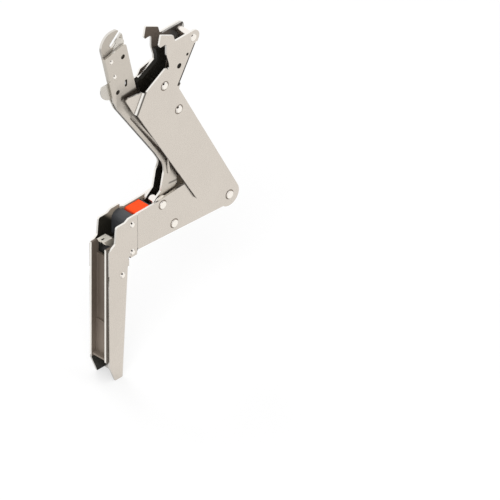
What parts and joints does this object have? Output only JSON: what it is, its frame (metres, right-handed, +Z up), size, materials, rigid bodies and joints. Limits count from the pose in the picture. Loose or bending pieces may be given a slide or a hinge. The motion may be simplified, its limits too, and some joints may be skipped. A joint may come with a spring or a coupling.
{
  "type": "lift-up door mechanism",
  "caption": "Clip-on arm set of a lift-up cabinet door: latching door socket on a sheet frame, hinged claw arm with hook lever, and an offset strap with a hook.",
  "frame": {"origin": "on the web's inner face of the door socket, in the middle plane between the cheeks, at the socket's lower end", "axes": "+Z up along the socket, +X from the socket towards the elbow pivot, +Y across the plates to the far side"},
  "size_m": [0.1237, 0.0202, 0.2784],
  "materials": {
    "plated_steel": "satin nickel plate",
    "bright_steel": "bright nickel plate",
    "spring_steel": "satin",
    "dark_steel": "dark satin coating",
    "dark_plastic": "moulded, matt",
    "orange_plastic": "moulded, half gloss"
  },
  "bodies": {
    "frame": {"carrier_frame": "plated_steel", "socket_channel": "plated_steel", "latch_housing": "dark_plastic", "housing_rivet": "bright_steel", "latch_rivet": "bright_steel", "socket_rivet": "bright_steel", "latch_spring": "spring_steel", "stop_rivet": "bright_steel", "stop_sleeve": "bright_steel", "strap_rivet": "bright_steel", "strap_washers": "bright_steel", "main_rivet": "bright_steel", "main_sleeve": "bright_steel", "main_washers": "bright_steel"},
    "latch": {"socket_latch": "plated_steel"},
    "button": {"release_button": "orange_plastic"},
    "arm": {"main_arm_near": "plated_steel", "main_arm_far": "plated_steel", "claw_near": "plated_steel", "claw_far": "plated_steel", "claw_pin": "bright_steel", "lever_rivet": "bright_steel", "claw_rivet": "bright_steel", "claw_sleeve": "bright_steel", "lever_spacers": "bright_steel"},
    "lever": {"hook_lever": "dark_steel"},
    "strap": {"strap_link": "plated_steel", "strap_bush": "bright_steel", "strap_hook": "plated_steel", "head_rivet": "bright_steel", "catch_rivet": "bright_steel"},
    "catch": {"hook_catch": "spring_steel"}
  },
  "joints": [
    {"name": "arm_swing", "type": "hinge", "parent": "frame", "child": "arm", "pos_m": [0.1095, 0, 0.0829], "axis": [0, 1, 0], "range_deg": [0, 90]},
    {"name": "strap_swing", "type": "hinge", "parent": "frame", "child": "strap", "pos_m": [0.0484, 0, 0.104], "axis": [0, 1, 0], "range_deg": [0, 90]},
    {"name": "hook_lever_swing", "type": "hinge", "parent": "arm", "child": "lever", "pos_m": [0.0484, 0, 0.2019], "axis": [0, 1, 0], "range_deg": [0, 18], "stiffness_Nm_per_rad": 0.1, "springref_deg": -11.46},
    {"name": "hook_catch_swing", "type": "hinge", "parent": "strap", "child": "catch", "pos_m": [0.0061, -0.00235, 0.2279], "axis": [0, 1, 0], "range_deg": [0, 12], "stiffness_Nm_per_rad": 0.02, "springref_deg": -11.46},
    {"name": "button_press", "type": "slide", "parent": "frame", "child": "button", "axis": [0, 0, -1], "range_m": [0, 0.0015], "stiffness_N_per_m": 1000, "springref_m": -0.002, "deforming": ["latch_spring"]},
    {"name": "latch_swing", "type": "hinge", "parent": "frame", "child": "latch", "pos_m": [0.018, 0, 0.0815], "axis": [0, 1, 0], "range_deg": [0, 8]}
  ],
  "couplings": [
    {"joint": "strap_swing", "follows": "arm_swing", "ratio": 1},
    {"joint": "latch_swing", "follows": "button_press", "rad_per_m": 90.9}
  ]
}
